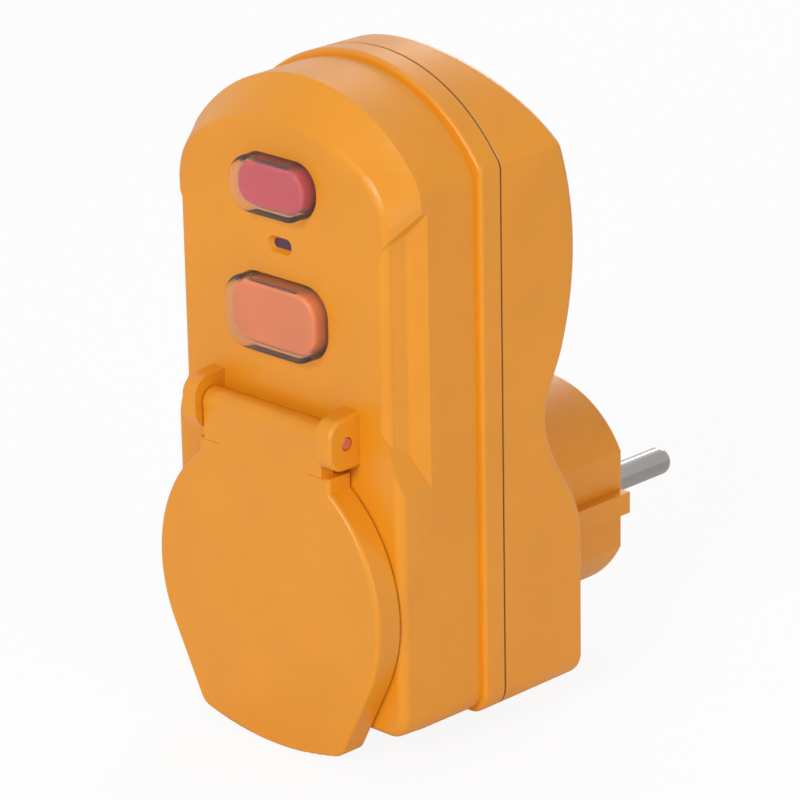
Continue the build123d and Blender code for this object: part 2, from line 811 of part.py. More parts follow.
for name, side in (("socket_contact_live", 1), ("socket_contact_neutral", -1)):
    with BuildPart() as tulip:
        with BuildSketch(facing(tulip_back_y)):
            Circle(tulip_radius + tulip_wall)
        extrude(amount=tulip_back_y - tulip_front_y)
        with BuildSketch(facing(tulip_back_y - 1.2)):
            Circle(tulip_radius)
        extrude(amount=tulip_back_y - tulip_front_y, mode=Mode.SUBTRACT)
        with BuildSketch(facing(tulip_back_y - 4)):
            Rectangle(0.8, 3 * tulip_radius)
            Rectangle(3 * tulip_radius, 0.8)
        extrude(amount=tulip_back_y - tulip_front_y, mode=Mode.SUBTRACT)
        with BuildSketch(facing(tulip_back_y)):
            with Locations((0, (contact_tail_top - socket_z) / 2 + tulip_radius / 2)):
                Rectangle(contact_tail_width, contact_tail_top - socket_z - tulip_radius)
        extrude(amount=0.8)
        with BuildSketch(Plane.XY.offset(contact_tail_top - socket_z - 0.8)):
            with Locations((0, (tulip_back_y + board_back_y) / 2)):
                Rectangle(contact_tail_width, tulip_back_y - board_back_y)
        extrude(amount=0.8)
    tulip_placed = Pos(side * pin_x, 0, socket_z) * tulip.part
    tulip_placed.label = name
    export_step(tulip_placed, f"parts/{name}.step")

with BuildPart() as earth_link:
    with BuildSketch(Plane.YZ):
        with Locations(((bow_back_y + link_back_y) / 2, 0)):
            Rectangle(link_back_y - bow_back_y, 1.6)
        with Locations((link_back_y + strip_thickness / 2 - 0.01, 0)):
            Rectangle(strip_thickness, 2 * link_reach)
    extrude(amount=bow_width / 2 - 0.5, both=True)
earth_link.part.label = "earth_link"
export_step(earth_link.part, "parts/earth_link.step")

# ---------------------------------------------------------------- circuit board and its parts
with BuildPart() as circuit_board:
    with BuildSketch(facing(board_back_y)):
        with Locations((0, (board_bottom_z + board_top_z) / 2)):
            Rectangle(2 * board_half_width, board_top_z - board_bottom_z)
        fillet(vertices().group_by(Axis.Y)[-1], board_corner)
        fillet(vertices().group_by(Axis.Y)[0], 1.0)
        with Locations(*housing_screw_spots[2:]):
            Circle(screw_column_radius + 0.6, mode=Mode.SUBTRACT)
        with Locations(*board_screw_spots):
            Circle(board_screw_radius + 0.2, mode=Mode.SUBTRACT)
    extrude(amount=board_thickness)
circuit_board.part.label = "circuit_board"
export_step(circuit_board.part, "parts/circuit_board.step")

with BuildPart() as board_screws:
    with BuildSketch(facing(board_back_y)):
        with Locations(*board_screw_spots):
            Circle(board_screw_radius)
    extrude(amount=board_screw_length)
    with BuildSketch(facing(board_back_y)):
        with Locations(*board_screw_spots):
            Circle(board_screw_radius * 2)
    extrude(amount=-1.7)
    with BuildSketch(facing(board_back_y + 1.7)):
        with Locations(*board_screw_spots):
            Rectangle(board_screw_radius * 2.4, board_screw_radius * 0.6)
            Rectangle(board_screw_radius * 0.6, board_screw_radius * 2.4)
    extrude(amount=0.9, mode=Mode.SUBTRACT)
board_screws.part.label = "board_screws"
export_step(board_screws.part, "parts/board_screws.step")

with BuildPart() as mechanism_frame:
    with BuildSketch(facing(frame_back_y)):
        with Locations((0, (frame_bottom_z + frame_top_z) / 2)):
            RectangleRounded(2 * frame_half_width, frame_top_z - frame_bottom_z, 2)
        with Locations((0, test_z), (0, reset_z)):
            Circle(stem_radius + running, mode=Mode.SUBTRACT)
        with Locations((0, lamp_z)):
            Circle(lamp_body_radius + seat, mode=Mode.SUBTRACT)
    extrude(amount=frame_thickness)
    leg_x = frame_half_width - leg_size / 2
    leg_low = frame_bottom_z + leg_size / 2
    leg_high = frame_top_z - leg_size / 2
    with BuildSketch(facing(board_y)):
        with Locations((leg_x, leg_low), (-leg_x, leg_low), (leg_x, leg_high), (-leg_x, leg_high)):
            RectangleRounded(leg_size, leg_size, 0.5)
    extrude(amount=board_y - frame_back_y)
mechanism_frame.part.label = "mechanism_frame"
export_step(mechanism_frame.part, "parts/mechanism_frame.step")

# ---------------------------------------------------------------- buttons, boots and their springs
boots = (
    ("test_boot", test_z, test_width, test_height),
    ("reset_boot", reset_z, reset_width, reset_height),
)
for name, z, width, height in boots:
    with BuildPart() as boot:
        with BuildSketch(facing(inner_front_y + seat)):
            with Locations((0, z)):
                RectangleRounded(width, height, boot_corner(height))
        extrude(amount=wall + seat + boot_proud)
        crown_edges = edges().filter_by_position(
            Axis.Y, front_y - boot_proud - 0.01, front_y - boot_proud + 0.01
        )
        fillet(crown_edges, boot_round)
        with BuildSketch(facing(inner_front_y + seat + boot_flange_thickness)):
            with Locations((0, z)):
                RectangleRounded(
                    width + 2 * boot_flange, height + 2 * boot_flange, boot_corner(height) + boot_flange
                )
        extrude(amount=boot_flange_thickness)
        with BuildSketch(facing(inner_front_y + seat + boot_flange_thickness)):
            with Locations((0, z)):
                RectangleRounded(
                    width - 2 * boot_wall, height - 2 * boot_wall, boot_corner(height) - boot_wall
                )
        extrude(
            amount=boot_flange_thickness + seat + wall + boot_proud - boot_wall, mode=Mode.SUBTRACT
        )
    boot.part.label = name
    export_step(boot.part, f"parts/{name}.step")

buttons = (
    ("test_button", test_z, test_width, test_height, test_stem_end),
    ("reset_button", reset_z, reset_width, reset_height, reset_stem_end),
)
for name, z, width, height, stem_end in buttons:
    inset = boot_wall + button_gap
    with BuildPart() as button:
        with BuildSketch(facing(button_face_y + button_skirt)):
            with Locations((0, z)):
                RectangleRounded(width - 2 * inset, height - 2 * inset, boot_corner(height) - inset)
        extrude(amount=button_skirt)
        face_edges = edges().filter_by_position(Axis.Y, button_face_y - 0.01, button_face_y + 0.01)
        fillet(face_edges, 0.6)
        with BuildSketch(facing(button_face_y + button_skirt)):
            with Locations((0, z)):
                Circle(spring_radius + spring_wire + 0.5)
        extrude(amount=button_skirt - 1.4, mode=Mode.SUBTRACT)
        with BuildSketch(facing(stem_end)):
            with Locations((0, z)):
                Circle(stem_radius)
        extrude(amount=stem_end - button_face_y - 1)
    button.part.label = name
    export_step(button.part, f"parts/{name}.step")

spring_seat_y = button_face_y + 1.4
for name, z in (("test_spring", test_z), ("reset_spring", reset_z)):
    length = frame_y - spring_seat_y - 2 * spring_wire - 2 * seat
    wound = coil(spring_radius, spring_wire, length, 6)
    placed = turned_to_depth(wound, 0, spring_seat_y + spring_wire + seat, z)
    placed.label = name
    export_step(placed, f"parts/{name}.step")

leaf_y = test_stem_end + button_travel + seat + leaf_thickness / 2
with BuildPart() as test_contact_leaf:
    with BuildSketch(Plane.YZ):
        with BuildLine():
            leaf_path = Polyline(
                (board_y - leaf_thickness / 2, test_z + 6),
                (board_y - leaf_thickness / 2, test_z + 3.5),
                (leaf_y, test_z + 1.5),
                (leaf_y, test_z - 2.0),
            )
            offset(leaf_path, amount=leaf_thickness / 2, side=Side.BOTH)
        make_face()
    extrude(amount=2.0, both=True)
test_contact_leaf.part.label = "test_contact_leaf"
export_step(test_contact_leaf.part, "parts/test_contact_leaf.step")

# ---------------------------------------------------------------- lamp
with BuildPart() as lamp_window:
    with BuildSketch(facing(inner_front_y + 1.0)):
        with Locations((0, lamp_z)):
            RectangleRounded(lamp_width + 1.2, lamp_height + 0.6, 1.0)
    extrude(amount=1.0 - seat)
    with BuildSketch(facing(inner_front_y + 0.5)):
        with Locations((0, lamp_z)):
            RectangleRounded(
                lamp_width - 1.2 - 2 * seat, lamp_height - 1.2 - 2 * seat, (lamp_height - 1.5) / 2
            )
    extrude(amount=inner_front_y + 0.5 - front_y - lamp_bevel)
lamp_window.part.label = "lamp_window"
export_step(lamp_window.part, "parts/lamp_window.step")

with BuildPart() as lamp:
    with BuildSketch(Plane.XY) as lamp_profile:
        with BuildLine():
            Polyline(
                (0, lamp_back_y),
                (lamp_body_radius + 0.4, lamp_back_y),
                (lamp_body_radius + 0.4, lamp_back_y - 0.9),
                (lamp_body_radius, lamp_back_y - 0.9),
                (lamp_body_radius, lamp_tip_y),
                (0, lamp_tip_y),
                (0, lamp_back_y),
            )
        make_face()
        fillet(lamp_profile.vertices().sort_by_distance((lamp_body_radius, lamp_tip_y))[0], 1.2)
    revolve(axis=Axis.Y)
    with BuildSketch(facing(board_y)):
        with Locations((0.9, 0), (-0.9, 0)):
            Rectangle(0.5, 0.5)
    extrude(amount=board_y - lamp_back_y + 0.3)
lamp_placed = Pos(0, 0, lamp_z) * lamp.part
lamp_placed.label = "lamp"
export_step(lamp_placed, "parts/lamp.step")

# ---------------------------------------------------------------- contact mechanism
with BuildPart() as contact_carrier:
    with BuildSketch(facing(carrier_back_y)):
        with Locations((0, reset_z)):
            RectangleRounded(2 * carrier_half_width, carrier_height, 1)
    extrude(amount=carrier_thickness)
    with BuildSketch(facing(carrier_back_y)):
        with Locations((0, reset_z)):
            Circle(carrier_spring_radius + spring_wire + 0.4)
    extrude(amount=1.2, mode=Mode.SUBTRACT)
contact_carrier.part.label = "contact_carrier"
export_step(contact_carrier.part, "parts/contact_carrier.step")

with BuildPart() as moving_contacts:
    with BuildSketch(facing(carrier_back_y + 0.7)):
        with Locations((bridge_x, reset_z), (-bridge_x, reset_z)):
            RectangleRounded(2.4, bridge_height, 0.4)
    extrude(amount=0.7)
    with BuildSketch(facing(carrier_back_y + 1.3)):
        for x in (bridge_x, -bridge_x):
            with Locations((x, reset_z + bridge_height / 2 - 1.3), (x, reset_z - bridge_height / 2 + 1.3)):
                Circle(1.0)
    extrude(amount=0.6)
moving_contacts.part.label = "moving_contacts"
export_step(moving_contacts.part, "parts/moving_contacts.step")

with BuildPart() as fixed_contacts:
    with BuildSketch(facing(board_y)):
        for x in (bridge_x, -bridge_x):
            with Locations((x, reset_z + bridge_height / 2 - 1.3), (x, reset_z - bridge_height / 2 + 1.3)):
                Circle(1.2)
    extrude(amount=board_y - fixed_contact_y)
fixed_contacts.part.label = "fixed_contacts"
export_step(fixed_contacts.part, "parts/fixed_contacts.step")

carrier_spring_length = board_y - carrier_back_y + 1.2 - 2 * spring_wire - 2 * seat
carrier_wound = coil(carrier_spring_radius, spring_wire, carrier_spring_length, 5)
carrier_spring = turned_to_depth(
    carrier_wound, 0, carrier_back_y - 1.2 + spring_wire + seat, reset_z
)
carrier_spring.label = "carrier_spring"
export_step(carrier_spring, "parts/carrier_spring.step")

# ---------------------------------------------------------------- trip coil
with BuildPart() as trip_bobbin:
    with BuildSketch(Plane.XY.offset(coil_bottom_z)):
        with Locations((coil_x, coil_y)):
            Circle(coil_core_radius)
            Circle(plunger_radius + running, mode=Mode.SUBTRACT)
    extrude(amount=coil_length)
    for z in (coil_bottom_z, coil_bottom_z + coil_length - 1):
        with BuildSketch(Plane.XY.offset(z)):
            with Locations((coil_x, coil_y)):
                Circle(coil_outer_radius + 0.3)
                Circle(plunger_radius + running, mode=Mode.SUBTRACT)
        extrude(amount=1)
trip_bobbin.part.label = "trip_bobbin"
export_step(trip_bobbin.part, "parts/trip_bobbin.step")

with BuildPart() as trip_winding:
    with BuildSketch(Plane.XY.offset(coil_bottom_z + 1 + seat)):
        with Locations((coil_x, coil_y)):
            Circle(coil_outer_radius)
            Circle(coil_core_radius + seat, mode=Mode.SUBTRACT)
    extrude(amount=coil_length - 2 - 2 * seat)
trip_winding.part.label = "trip_winding"
export_step(trip_winding.part, "parts/trip_winding.step")

with BuildPart() as trip_yoke:
    with BuildSketch(crossing(coil_x - 2.5)):
        with BuildLine():
            Polyline(
                (coil_y - 3, coil_bottom_z - 1 - seat),
                (board_y, coil_bottom_z - 1 - seat),
                (board_y, coil_top_z + 1 + seat),
                (coil_y - 3, coil_top_z + 1 + seat),
                (coil_y - 3, coil_top_z + seat),
                (board_y - 1, coil_top_z + seat),
                (board_y - 1, coil_bottom_z - seat),
                (coil_y - 3, coil_bottom_z - seat),
                close=True,
            )
        make_face()
    extrude(amount=5)
    with BuildSketch(Plane.XY.offset(coil_bottom_z - 2)):
        with Locations((coil_x, coil_y)):
            Circle(plunger_radius + running)
    extrude(amount=coil_length + 4, mode=Mode.SUBTRACT)
trip_yoke.part.label = "trip_yoke"
export_step(trip_yoke.part, "parts/trip_yoke.step")

with BuildPart() as trip_plunger:
    with BuildSketch(Plane.XY.offset(coil_bottom_z + 1)):
        with Locations((coil_x, coil_y)):
            Circle(plunger_radius)
    extrude(amount=plunger_head_z - coil_bottom_z - 1)
    with BuildSketch(Plane.XY.offset(plunger_head_z)):
        with Locations((coil_x, coil_y)):
            Circle(plunger_radius + 1.1)
    extrude(amount=0.8)
trip_plunger.part.label = "trip_plunger"
export_step(trip_plunger.part, "parts/trip_plunger.step")

plunger_spring_low = coil_top_z + 1 + 2 * seat + plunger_wire
plunger_spring_length = plunger_head_z - seat - plunger_wire - plunger_spring_low
plunger_spring = Pos(coil_x, coil_y, plunger_spring_low) * coil(
    plunger_radius + 0.65, plunger_wire, plunger_spring_length, 4
)
plunger_spring.label = "plunger_spring"
export_step(plunger_spring, "parts/plunger_spring.step")

# ---------------------------------------------------------------- current transformer
transformer_back = transformer_front + transformer_depth
with BuildPart() as transformer_core:
    with BuildSketch(facing(transformer_back - 0.8)):
        with Locations((0, transformer_z)):
            Circle(transformer_outer - 0.8)
            Circle(transformer_inner + 0.8, mode=Mode.SUBTRACT)
    extrude(amount=transformer_depth - 1.6)
transformer_core.part.label = "transformer_core"
export_step(transformer_core.part, "parts/transformer_core.step")

with BuildPart() as transformer_winding:
    for turn in range(transformer_turns):
        angle = 360 / transformer_turns * turn
        across = Vector(math.cos(math.radians(angle)), 0, math.sin(math.radians(angle)))
        middle = (transformer_outer + transformer_inner) / 2
        centre = Vector(0, transformer_front + transformer_depth / 2, transformer_z) + across * middle
        with BuildSketch(Plane(origin=centre, x_dir=across, z_dir=across.cross(Vector(0, 1, 0)))):
            Rectangle(transformer_outer - transformer_inner, transformer_depth)
            Rectangle(
                transformer_outer - transformer_inner - 1.4, transformer_depth - 1.4, mode=Mode.SUBTRACT
            )
        extrude(amount=0.35, both=True)
transformer_winding.part.label = "transformer_winding"
export_step(transformer_winding.part, "parts/transformer_winding.step")

with BuildPart() as transformer_holder:
    holder_thickness = transformer_front - board_back_y - seat
    with BuildSketch(facing(board_back_y + holder_thickness)):
        with Locations((0, transformer_z)):
            Circle(transformer_outer)
            Circle(transformer_inner, mode=Mode.SUBTRACT)
    extrude(amount=holder_thickness)
transformer_holder.part.label = "transformer_holder"
export_step(transformer_holder.part, "parts/transformer_holder.step")

for name, side in (("supply_wire_live", 1), ("supply_wire_neutral", -1)):
    route = [
        (side * pin_x, -pin_tail - seat, 0),
        (side * pin_x, -pin_tail - 6.2, 0),
        (side * 6.0, waist_y - wall - 1.7, 21.0),
        (side * 5.0, waist_y - wall - 1.9, 36.0),
        (side * wire_pass_x, transformer_back + wire_radius + 0.2, 46.0),
        (side * wire_pass_x, transformer_back + wire_radius + 0.2, transformer_z),
        (side * wire_pass_x, board_back_y, transformer_z),
    ]
    with BuildPart() as supply_wire:
        with BuildLine() as wire_path:
            FilletPolyline(*route, radius=[3.5, 6.0, 6.0, 3.0, 1.9])
        with BuildSketch(Plane(origin=wire_path.line @ 0, z_dir=wire_path.line % 0)):
            Circle(wire_radius)
        sweep()
    supply_wire.part.label = name
    export_step(supply_wire.part, f"parts/{name}.step")

# ---------------------------------------------------------------- small parts on the board
with BuildPart() as varistor:
    with BuildSketch(facing(board_back_y + 4.4)):
        with Locations((-12.5, 47)):
            Circle(4.2)
    extrude(amount=3.2)
    fillet(edges(), 0.8)
    with BuildSketch(facing(board_back_y + 1.6)):
        with Locations((-14.5, 47), (-10.5, 47)):
            Circle(0.35)
    extrude(amount=1.6)
varistor.part.label = "varistor"
export_step(varistor.part, "parts/varistor.step")

with BuildPart() as capacitor:
    with BuildSketch(facing(board_back_y + 6)):
        with Locations((13, 47)):
            RectangleRounded(7, 10, 0.6)
    extrude(amount=6)
    fillet(edges().filter_by_position(Axis.Y, board_back_y + 5.99, board_back_y + 6.01), 0.5)
capacitor.part.label = "capacitor"
export_step(capacitor.part, "parts/capacitor.step")

with BuildPart() as control_chip:
    with BuildSketch(facing(board_y)):
        with Locations((-15.8, 50)):
            Rectangle(4, 5)
    extrude(amount=1.5)
    with BuildSketch(facing(board_y)):
        with Locations((-15.8, 50)):
            with GridLocations(0, 1.27, 1, 4):
                Rectangle(6, 0.45)
    extrude(amount=0.4)
control_chip.part.label = "control_chip"
export_step(control_chip.part, "parts/control_chip.step")

with BuildPart() as test_resistor:
    with BuildSketch(crossing(-18.5)):
        with Locations((board_y - 1.6, 58.5)):
            Circle(1.5)
    extrude(amount=6.5)
    fillet(edges(), 0.5)
test_resistor.part.label = "test_resistor"
export_step(test_resistor.part, "parts/test_resistor.step")

# ---------------------------------------------------------------- lid, hinge pin and spring
lid_spring_coil = hinge_pin_radius + lid_spring_wire + 0.2
tangent_x = lid_radius * math.cos(math.radians(lid_tab_angle))
tangent_z = lid_centre_z - lid_radius * math.sin(math.radians(lid_tab_angle))


def lid_outline(inset):
    """Round lid with narrow shoulders above and a tapered finger tab below."""
    low = lid_tab_z + inset
    side_drop = tangent_z - (low + 2.4)
    foot_x = tangent_x - side_drop * math.tan(math.radians(lid_tab_angle))
    shrink = inset / math.cos(math.radians(lid_tab_angle))
    with BuildSketch(Plane.XY) as outline:
        with Locations((0, lid_centre_z)):
            Circle(lid_radius - inset)
        with BuildLine():
            Line((-tangent_x + shrink, tangent_z), (-foot_x + shrink, low + 2.4))
            ThreePointArc((-foot_x + shrink, low + 2.4), (0, low), (foot_x - shrink, low + 2.4))
            Line((foot_x - shrink, low + 2.4), (tangent_x - shrink, tangent_z))
            Line((tangent_x - shrink, tangent_z), (-tangent_x + shrink, tangent_z))
        make_face()
        shoulder_height = lid_shoulder_z - inset - lid_centre_z
        with Locations((0, lid_centre_z + shoulder_height / 2)):
            Rectangle(2 * (lid_shoulder_x - inset), shoulder_height)
        fillet(outline.vertices().group_by(Axis.Y)[0:3][0], 0.01 + lid_tab_corner - inset)
    return outline.sketch


with BuildPart() as lid:
    with BuildSketch(facing(lid_back_y)):
        add(lid_outline(0))
    extrude(amount=lid_back_y - lid_front_y)
    lid_face = faces().filter_by(Axis.Y).sort_by(Axis.Y)[0]
    fillet(lid_face.outer_wire().edges(), 0.8)
    with BuildSketch(facing(lid_back_y)):
        with Locations((0, lid_centre_z)):
            Circle(lid_radius - lid_wall)
    extrude(amount=lid_back_y - lid_front_y - lid_plate, mode=Mode.SUBTRACT)
    # Web and knuckle between the ears
    with BuildSketch(facing(lid_front_y + web_thickness)):
        with Locations((0, (hinge_z + web_bottom_z) / 2)):
            Rectangle(2 * knuckle_half, hinge_z - web_bottom_z)
    extrude(amount=web_thickness)
    with BuildSketch(crossing(-knuckle_half)):
        with Locations((hinge_y, hinge_z)):
            Circle(knuckle_radius)
    extrude(amount=2 * knuckle_half)
    with BuildSketch(crossing(knuckle_half - spring_pocket)):
        with Locations((hinge_y, hinge_z)):
            Circle(lid_spring_coil + lid_spring_wire + 0.12)
    extrude(amount=spring_pocket + 1, mode=Mode.SUBTRACT)
    with BuildSketch(crossing(-knuckle_half - 1)):
        with Locations((hinge_y, hinge_z)):
            Circle(hinge_pin_radius + hinge_gap)
    extrude(amount=2 * knuckle_half + 2, mode=Mode.SUBTRACT)
lid.part.label = "lid"
export_step(lid.part, "parts/lid.step")

with BuildPart() as lid_seal:
    with BuildSketch(facing(rim_y - seat)):
        with Locations((0, socket_z)):
            Circle(rim_outer - 0.1)
            Circle(rim_outer - 1.1, mode=Mode.SUBTRACT)
    extrude(amount=rim_y - lid_front_y - lid_plate - 2 * seat)
lid_seal.part.label = "lid_seal"
export_step(lid_seal.part, "parts/lid_seal.step")

with BuildPart() as hinge_pin:
    with BuildSketch(crossing(-ear_outer_x)):
        with Locations((hinge_y, hinge_z)):
            Circle(hinge_pin_radius)
    extrude(amount=2 * ear_outer_x)
    pin_ends = edges().filter_by(GeomType.CIRCLE)
    chamfer(pin_ends, 0.2)
hinge_pin.part.label = "hinge_pin"
export_step(hinge_pin.part, "parts/hinge_pin.step")

lid_spring_length = spring_pocket - 2 * lid_spring_wire - 0.2
with BuildPart() as lid_spring:
    add(coil(lid_spring_coil, lid_spring_wire, lid_spring_length, 5))
lid_spring_placed = Pos(
    knuckle_half - spring_pocket + lid_spring_wire + 0.1, hinge_y, hinge_z
) * Rot(0, 90, 0) * lid_spring.part
lid_spring_placed.label = "lid_spring"
export_step(lid_spring_placed, "parts/lid_spring.step")
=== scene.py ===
"""Looks of a plug-in residual-current adapter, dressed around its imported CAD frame."""

import logging
import math
from dataclasses import dataclass
from enum import Enum

import bmesh
import bpy
from mathutils import Matrix, Vector


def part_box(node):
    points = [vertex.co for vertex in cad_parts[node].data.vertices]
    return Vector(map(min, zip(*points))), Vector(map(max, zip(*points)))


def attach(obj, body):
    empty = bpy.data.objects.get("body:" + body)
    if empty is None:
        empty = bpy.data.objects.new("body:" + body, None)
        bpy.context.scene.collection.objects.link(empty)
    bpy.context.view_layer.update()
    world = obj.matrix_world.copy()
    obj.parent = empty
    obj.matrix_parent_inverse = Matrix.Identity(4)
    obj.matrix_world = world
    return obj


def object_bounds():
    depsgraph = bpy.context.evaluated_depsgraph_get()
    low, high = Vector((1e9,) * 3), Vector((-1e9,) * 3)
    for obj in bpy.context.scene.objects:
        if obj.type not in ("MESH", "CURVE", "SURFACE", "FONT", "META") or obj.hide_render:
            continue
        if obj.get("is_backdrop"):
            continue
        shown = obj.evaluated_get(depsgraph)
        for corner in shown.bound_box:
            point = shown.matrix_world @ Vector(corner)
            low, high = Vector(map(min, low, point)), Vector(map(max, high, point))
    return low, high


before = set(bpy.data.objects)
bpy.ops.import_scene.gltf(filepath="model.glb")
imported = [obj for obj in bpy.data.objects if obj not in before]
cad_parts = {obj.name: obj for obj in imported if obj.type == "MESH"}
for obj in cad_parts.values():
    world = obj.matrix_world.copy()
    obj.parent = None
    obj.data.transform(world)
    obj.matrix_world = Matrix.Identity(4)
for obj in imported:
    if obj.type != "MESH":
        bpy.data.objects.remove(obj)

LOG = logging.getLogger("adapter")
MM = 0.001
Colour = tuple[float, float, float]
Triple = tuple[float, float, float]

WHITE = (1, 1, 1, 1)
# Colour of the painted shade line in the bottom of the shells' parting groove.
SEAM_PAINTED_SHADE = (0.10, 0.035, 0.005, 1)
DRIFT_SCALE = 60.0
DRIFT_OCTAVES = 3.0
DRIFT_LOW = 0.35
DRIFT_HIGH = 0.65
MARK_SCALE = 240.0
MARK_OCTAVES = 6.0
SHEEN_SWING = 0.06
LEAST_ROUGHNESS = 0.02
NOISE_ROUGHNESS = 0.6
COAT_ROUGHNESS = 0.12
SUBSURFACE_REACH = 0.6 * MM
# Half-widths of the painted shade line at the seam: fully dark within the first, faded out by the
# second.
SEAM_PAINTED_SHADE_HALF = 0.10 * MM
SEAM_PAINTED_FADE_HALF = 0.24 * MM
SPARKED_OCTAVES = 2.0
FINE_OCTAVES = 5.0


class Surface(Enum):
    """How a finish breaks up its smooth surface."""

    SPARKED = "sparked"
    POLISHED = "polished"
    DRAWN = "drawn"
    MATTE = "matte"
    LAMINATE = "laminate"
    ENAMEL = "enamel"


@dataclass(frozen=True)
class Finish:
    """One finish: its colour, sheen and the fine relief on it."""

    name: str
    colour: Colour
    roughness: float
    surface: Surface = Surface.SPARKED
    metallic: float = 0.0
    scale: float = 9000.0
    relief: float = 0.02 * MM
    bump: float = 0.25
    spread: float = 0.04
    coat: float = 0.0
    transmission: float = 0.0
    ior: float = 1.5
    subsurface: float = 0.0
    stretch: Triple = (1.0, 1.0, 1.0)
    # Y of the shells' parting line, where a thin line of painted shade darkens the groove; None
    # for no painted shade.
    painted_shade_seam_y: float | None = None

    def build(self) -> bpy.types.Material:
        """Make the node material.

        Returns:
            The finished material.
        """
        material = bpy.data.materials.new(self.name)
        material.use_nodes = True
        tree = material.node_tree
        shader = tree.nodes["Principled BSDF"]
        shader.inputs["Metallic"].default_value = self.metallic
        shader.inputs["IOR"].default_value = self.ior
        shader.inputs["Coat Weight"].default_value = self.coat
        shader.inputs["Coat Roughness"].default_value = COAT_ROUGHNESS
        shader.inputs["Transmission Weight"].default_value = self.transmission
        shader.inputs["Subsurface Weight"].default_value = self.subsurface
        shader.inputs["Subsurface Scale"].default_value = SUBSURFACE_REACH
        where = tree.nodes.new("ShaderNodeTexCoord")
        placed = tree.nodes.new("ShaderNodeMapping")
        placed.inputs["Scale"].default_value = self.stretch
        tree.links.new(where.outputs["Object"], placed.inputs["Vector"])
        self._tint(tree, shader, placed)
        self._sheen(tree, shader, placed)
        self._relief(tree, shader, placed)
        return material

    def _noise(
        self, tree: bpy.types.NodeTree, placed: bpy.types.Node, scale: float, detail: float
    ) -> bpy.types.Node:
        """Add a noise texture.

        Args:
            tree: The material's node tree.
            placed: The mapping that places the pattern.
            scale: The pattern's scale, per metre.
            detail: The number of octaves.

        Returns:
            The noise node.
        """
        noise = tree.nodes.new("ShaderNodeTexNoise")
        noise.inputs["Scale"].default_value = scale
        noise.inputs["Detail"].default_value = detail
        noise.inputs["Roughness"].default_value = NOISE_ROUGHNESS
        tree.links.new(placed.outputs["Vector"], noise.inputs["Vector"])
        return noise

    def _tint(
        self, tree: bpy.types.NodeTree, shader: bpy.types.Node, placed: bpy.types.Node
    ) -> None:
        """Colour the shader, with slow drifts of tone.

        Args:
            tree: The material's node tree.
            shader: The shader to set.
            placed: The mapping that places the pattern.
        """
        drift = self._noise(tree, placed, DRIFT_SCALE, DRIFT_OCTAVES)
        ramp = tree.nodes.new("ShaderNodeValToRGB")
        dark = tuple(c * (1 - self.spread) for c in self.colour)
        pale = tuple(min(1.0, c * (1 + self.spread)) for c in self.colour)
        ramp.color_ramp.elements[0].position = DRIFT_LOW
        ramp.color_ramp.elements[0].color = (*dark, 1)
        ramp.color_ramp.elements[1].position = DRIFT_HIGH
        ramp.color_ramp.elements[1].color = (*pale, 1)
        tree.links.new(drift.outputs["Fac"], ramp.inputs["Fac"])
        # Where a seam is set, a thin line of painted shade darkens the parting groove between the
        # shells.
        if self.painted_shade_seam_y is None:
            tree.links.new(ramp.outputs["Color"], shader.inputs["Base Color"])
        else:
            self._paint_seam_shade(tree, shader, placed, ramp)

    def _paint_seam_shade(
        self,
        tree: bpy.types.NodeTree,
        shader: bpy.types.Node,
        placed: bpy.types.Node,
        ramp: bpy.types.Node,
    ) -> None:
        """Paint shade into the bottom of the groove where the two shells meet, a painted shade
        line standing in for the shadow in the gap.

        Args:
            tree: The material's node tree.
            shader: The shader to colour.
            placed: The mapping that places the pattern.
            ramp: The node that gives the plain colour.
        """
        axes = tree.nodes.new("ShaderNodeSeparateXYZ")
        tree.links.new(placed.outputs["Vector"], axes.inputs["Vector"])
        away = tree.nodes.new("ShaderNodeMath")
        away.operation = "SUBTRACT"
        away.inputs[1].default_value = self.painted_shade_seam_y
        tree.links.new(axes.outputs["Y"], away.inputs[0])
        gap = tree.nodes.new("ShaderNodeMath")
        gap.operation = "ABSOLUTE"
        tree.links.new(away.outputs["Value"], gap.inputs[0])
        depth = tree.nodes.new("ShaderNodeMapRange")
        depth.inputs["From Min"].default_value = SEAM_PAINTED_SHADE_HALF
        depth.inputs["From Max"].default_value = SEAM_PAINTED_FADE_HALF
        depth.inputs["To Min"].default_value = 1.0
        depth.inputs["To Max"].default_value = 0.0
        tree.links.new(gap.outputs["Value"], depth.inputs["Value"])
        mix = tree.nodes.new("ShaderNodeMixRGB")
        tree.links.new(depth.outputs["Result"], mix.inputs["Fac"])
        tree.links.new(ramp.outputs["Color"], mix.inputs["Color1"])
        mix.inputs["Color2"].default_value = SEAM_PAINTED_SHADE
        tree.links.new(mix.outputs["Color"], shader.inputs["Base Color"])

    def _sheen(
        self, tree: bpy.types.NodeTree, shader: bpy.types.Node, placed: bpy.types.Node
    ) -> None:
        """Vary the roughness with faint handling marks.

        Args:
            tree: The material's node tree.
            shader: The shader to set.
            placed: The mapping that places the pattern.
        """
        marks = self._noise(tree, placed, MARK_SCALE, MARK_OCTAVES)
        span = tree.nodes.new("ShaderNodeMapRange")
        span.inputs["To Min"].default_value = max(
            LEAST_ROUGHNESS, self.roughness - SHEEN_SWING
        )
        span.inputs["To Max"].default_value = min(1.0, self.roughness + SHEEN_SWING)
        tree.links.new(marks.outputs["Fac"], span.inputs["Value"])
        tree.links.new(span.outputs["Result"], shader.inputs["Roughness"])

